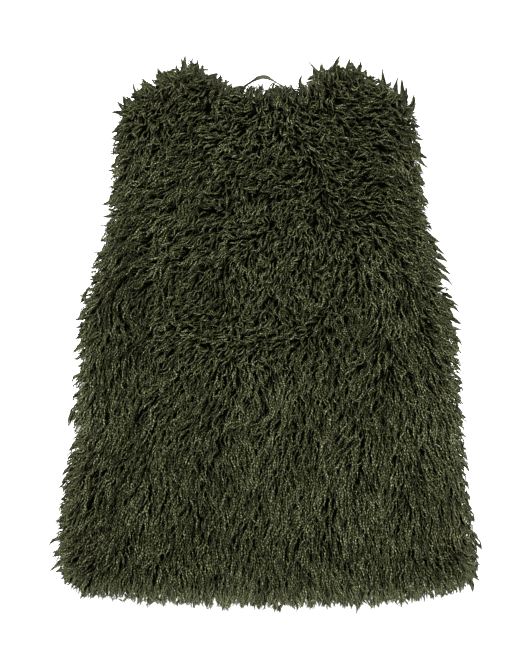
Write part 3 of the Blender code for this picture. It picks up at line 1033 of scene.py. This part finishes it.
class VEST_OT_front_pile(bpy.types.Operator):
    """Grows the pile of both fronts, pressed flat where they lie on the floor"""

    bl_idname = "vest.front_pile"
    bl_label = "Front pile"

    def execute(self, context):
        pile = context.scene.vest_pile
        for number, side in enumerate(("left", "right")):
            rng = np.random.default_rng(pile.seed + 2 + number)
            form = PanelForm("front_" + side, -1)
            x, y = form.scattered(12.5, rng, 2.0)
            heading, scatter = lie_of_pile(x, y)
            near = fade(form.depth(x, y), 0.0, 24.0)
            heading = mixed_heading(heading, form.way_out(x, y), 0.6 * near)
            heading = np.where(within(x, CENTRE_FRONT, 22.0), np.radians(270.0), heading)
            length = rng.uniform(22.0, 32.0, len(x))
            sink = rng.uniform(0.0, 4.0, len(x))
            paths = strand_paths(
                form, Locks(x, y, 14.0, rng), x, y, heading, np.minimum(scatter, 0.4), length,
                3.0, sink, pile, rng, rings=6, root_depth=6.0, tip_rise=0.5, lock_pull=0.5,
                weave=0.8,
            )
            seats = form.seats_round(9.0, rng)
            reach = rng.uniform(-5.0, 0.0, len(seats))
            reach = np.where(within(seats[:, 0], CENTRE_FRONT, 8.0), 1.0, reach)
            tufts = small_tufts(form, seats, 0.5, 0.2, reach, rng)
            paths = np.concatenate((paths, tuft_paths(form, tufts, 8, pile, rng, 6)))
            count = len(paths)
            width = pile.strand_width / MM * rng.uniform(1.1, 1.6, count)
            tint = np.clip(0.5 + 0.2 * rng.normal(0, 1, count), 0, 1)
            pale = rng.uniform(0.0, 0.2, count)
            looks = (width, tint, pale, buried_shade(form, paths), pile_material(pile))
            strand_mesh(f"front_{side}_pile", paths, *looks)
        return {"FINISHED"}


class VEST_OT_hanger_loop(bpy.types.Operator):
    """Makes the twill hanger loop at the back neck"""

    bl_idname = "vest.hanger_loop"
    bl_label = "Hanger loop"

    def execute(self, context):
        loop = context.scene.vest_loop
        table = np.array(LOOP)
        steps = 80
        stations = np.linspace(0, len(LOOP) - 1, steps + 1)
        table = np.stack([np.interp(stations, np.arange(len(LOOP)), c) for c in table.T], 1)
        for _ in range(6):
            table[1:-1] = (table[:-2] + 2 * table[1:-1] + table[2:]) / 4
        middles = table[:, :3] + LOOP_START
        rolls = np.radians(table[:, 3])[:, None]
        tangents = np.gradient(middles, axis=0)
        flat = unit(np.cross((0, 0, 1), tangents))
        upright = unit(np.cross(tangents, flat))
        across = flat * np.cos(rolls) + upright * np.sin(rolls)
        run = np.concatenate(([0], np.cumsum(np.linalg.norm(np.diff(middles, axis=0), axis=1))))

        bm = bmesh.new()
        bmesh.ops.create_grid(bm, x_segments=6, y_segments=steps, size=0.5, calc_uvs=True)
        uv = bm.loops.layers.uv.new("tape")
        width = loop.width / MM
        seats = {}
        for vert in bm.verts:
            station, share = round((vert.co.y + 0.5) * steps), vert.co.x
            seats[vert] = (station, share)
            vert.co = Vector(middles[station] + across[station] * share * width) * MM
        for face in bm.faces:
            for corner in face.loops:
                station, share = seats[corner.vert]
                corner[uv].uv = (share * width, run[station])
        mesh = mesh_of("neck_hanger_loop", bm, tape_material(loop))
        mesh.shade_smooth()
        piece = placed("neck_hanger_loop", mesh)
        wall = piece.modifiers.new("tape thickness", "SOLIDIFY")
        wall.thickness = loop.thickness
        wall.offset = 0.0
        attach(piece, "root")
        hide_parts("hanger_loop")
        return {"FINISHED"}


class VEST_OT_stage(bpy.types.Operator):
    """Lays the plain floor and sets the light and the camera"""

    bl_idname = "vest.stage"
    bl_label = "Stage"

    def execute(self, context):
        stage = context.scene.vest_stage
        bm = bmesh.new()
        bmesh.ops.create_grid(bm, x_segments=1, y_segments=1, size=stage.floor_size / 2)
        material, _, finish = shader("pale_floor")
        colour = (*stage.floor_colour, 1.0)
        finish({"Base Color": colour, "Roughness": 0.9, "Specular IOR Level": 0.1})
        floor = placed("floor", mesh_of("floor", bm, material))

        world = bpy.data.worlds.new("studio")
        world.use_nodes = True
        sky = world.node_tree.nodes["Background"]
        sky.inputs["Color"].default_value = (1.0, 1.0, 1.0, 1.0)
        sky.inputs["Strength"].default_value = stage.sky_strength
        context.scene.world = world

        for name, place, share, size in LAMPS:
            lamp = bpy.data.lights.new(name, "AREA")
            lamp.shape = "DISK"
            lamp.size = size
            lamp.energy = stage.key_power * share
            place = Vector(place)
            turn = (-place).to_track_quat("-Z", "Y").to_matrix().to_4x4()
            placed(name, lamp).matrix_world = Matrix.Translation(place) @ turn

        lens = bpy.data.cameras.new("camera")
        lens.sensor_fit = "AUTO"
        lens.sensor_width = 36.0
        height = stage.camera_height
        lens.lens = lens.sensor_width * (height - VIEW_LEVEL * MM) / stage.picture_height
        lens.clip_start, lens.clip_end = 0.05, 100.0
        camera = placed("camera", lens)
        camera.location = (VIEW_MIDDLE[0] * MM, VIEW_MIDDLE[1] * MM, height)
        context.scene.camera = camera
        context.scene.view_settings.view_transform = "Standard"
        return {"FINISHED"}


class VEST_PT_looks(bpy.types.Panel):
    """Sidebar panel with the vest's sizes, colours and operators"""

    bl_idname = "VEST_PT_looks"
    bl_label = "Faux fur vest"
    bl_space_type = "VIEW_3D"
    bl_region_type = "UI"
    bl_category = "Vest"

    def draw(self, context):
        layout = self.layout
        for settings in SETTINGS:
            group = getattr(context.scene, settings)
            box = layout.box()
            for key in group.bl_rna.properties.keys():
                if key not in ("rna_type", "name"):
                    box.prop(group, key)
        for operator in OPERATORS:
            layout.operator(operator.bl_idname)


SETTINGS = {
    "vest_pile": VestPileSettings,
    "vest_loop": VestLoopSettings,
    "vest_stage": VestStageSettings,
}
OPERATORS = (
    VEST_OT_stage,
    VEST_OT_back_pile,
    VEST_OT_edge_pile,
    VEST_OT_front_pile,
    VEST_OT_hanger_loop,
    VEST_OT_cloth,
)
CLASSES = (*SETTINGS.values(), *OPERATORS, VEST_PT_looks)


def register():
    for cls in CLASSES:
        bpy.utils.register_class(cls)
    for name, cls in SETTINGS.items():
        setattr(bpy.types.Scene, name, PointerProperty(type=cls))


def unregister():
    for name in SETTINGS:
        delattr(bpy.types.Scene, name)
    for cls in reversed(CLASSES):
        bpy.utils.unregister_class(cls)


def main():
    register()
    bpy.ops.vest.stage()
    bpy.ops.vest.back_pile()
    bpy.ops.vest.edge_pile()
    bpy.ops.vest.front_pile()
    bpy.ops.vest.hanger_loop()
    bpy.ops.vest.cloth()


if __name__ == "__main__":
    main()
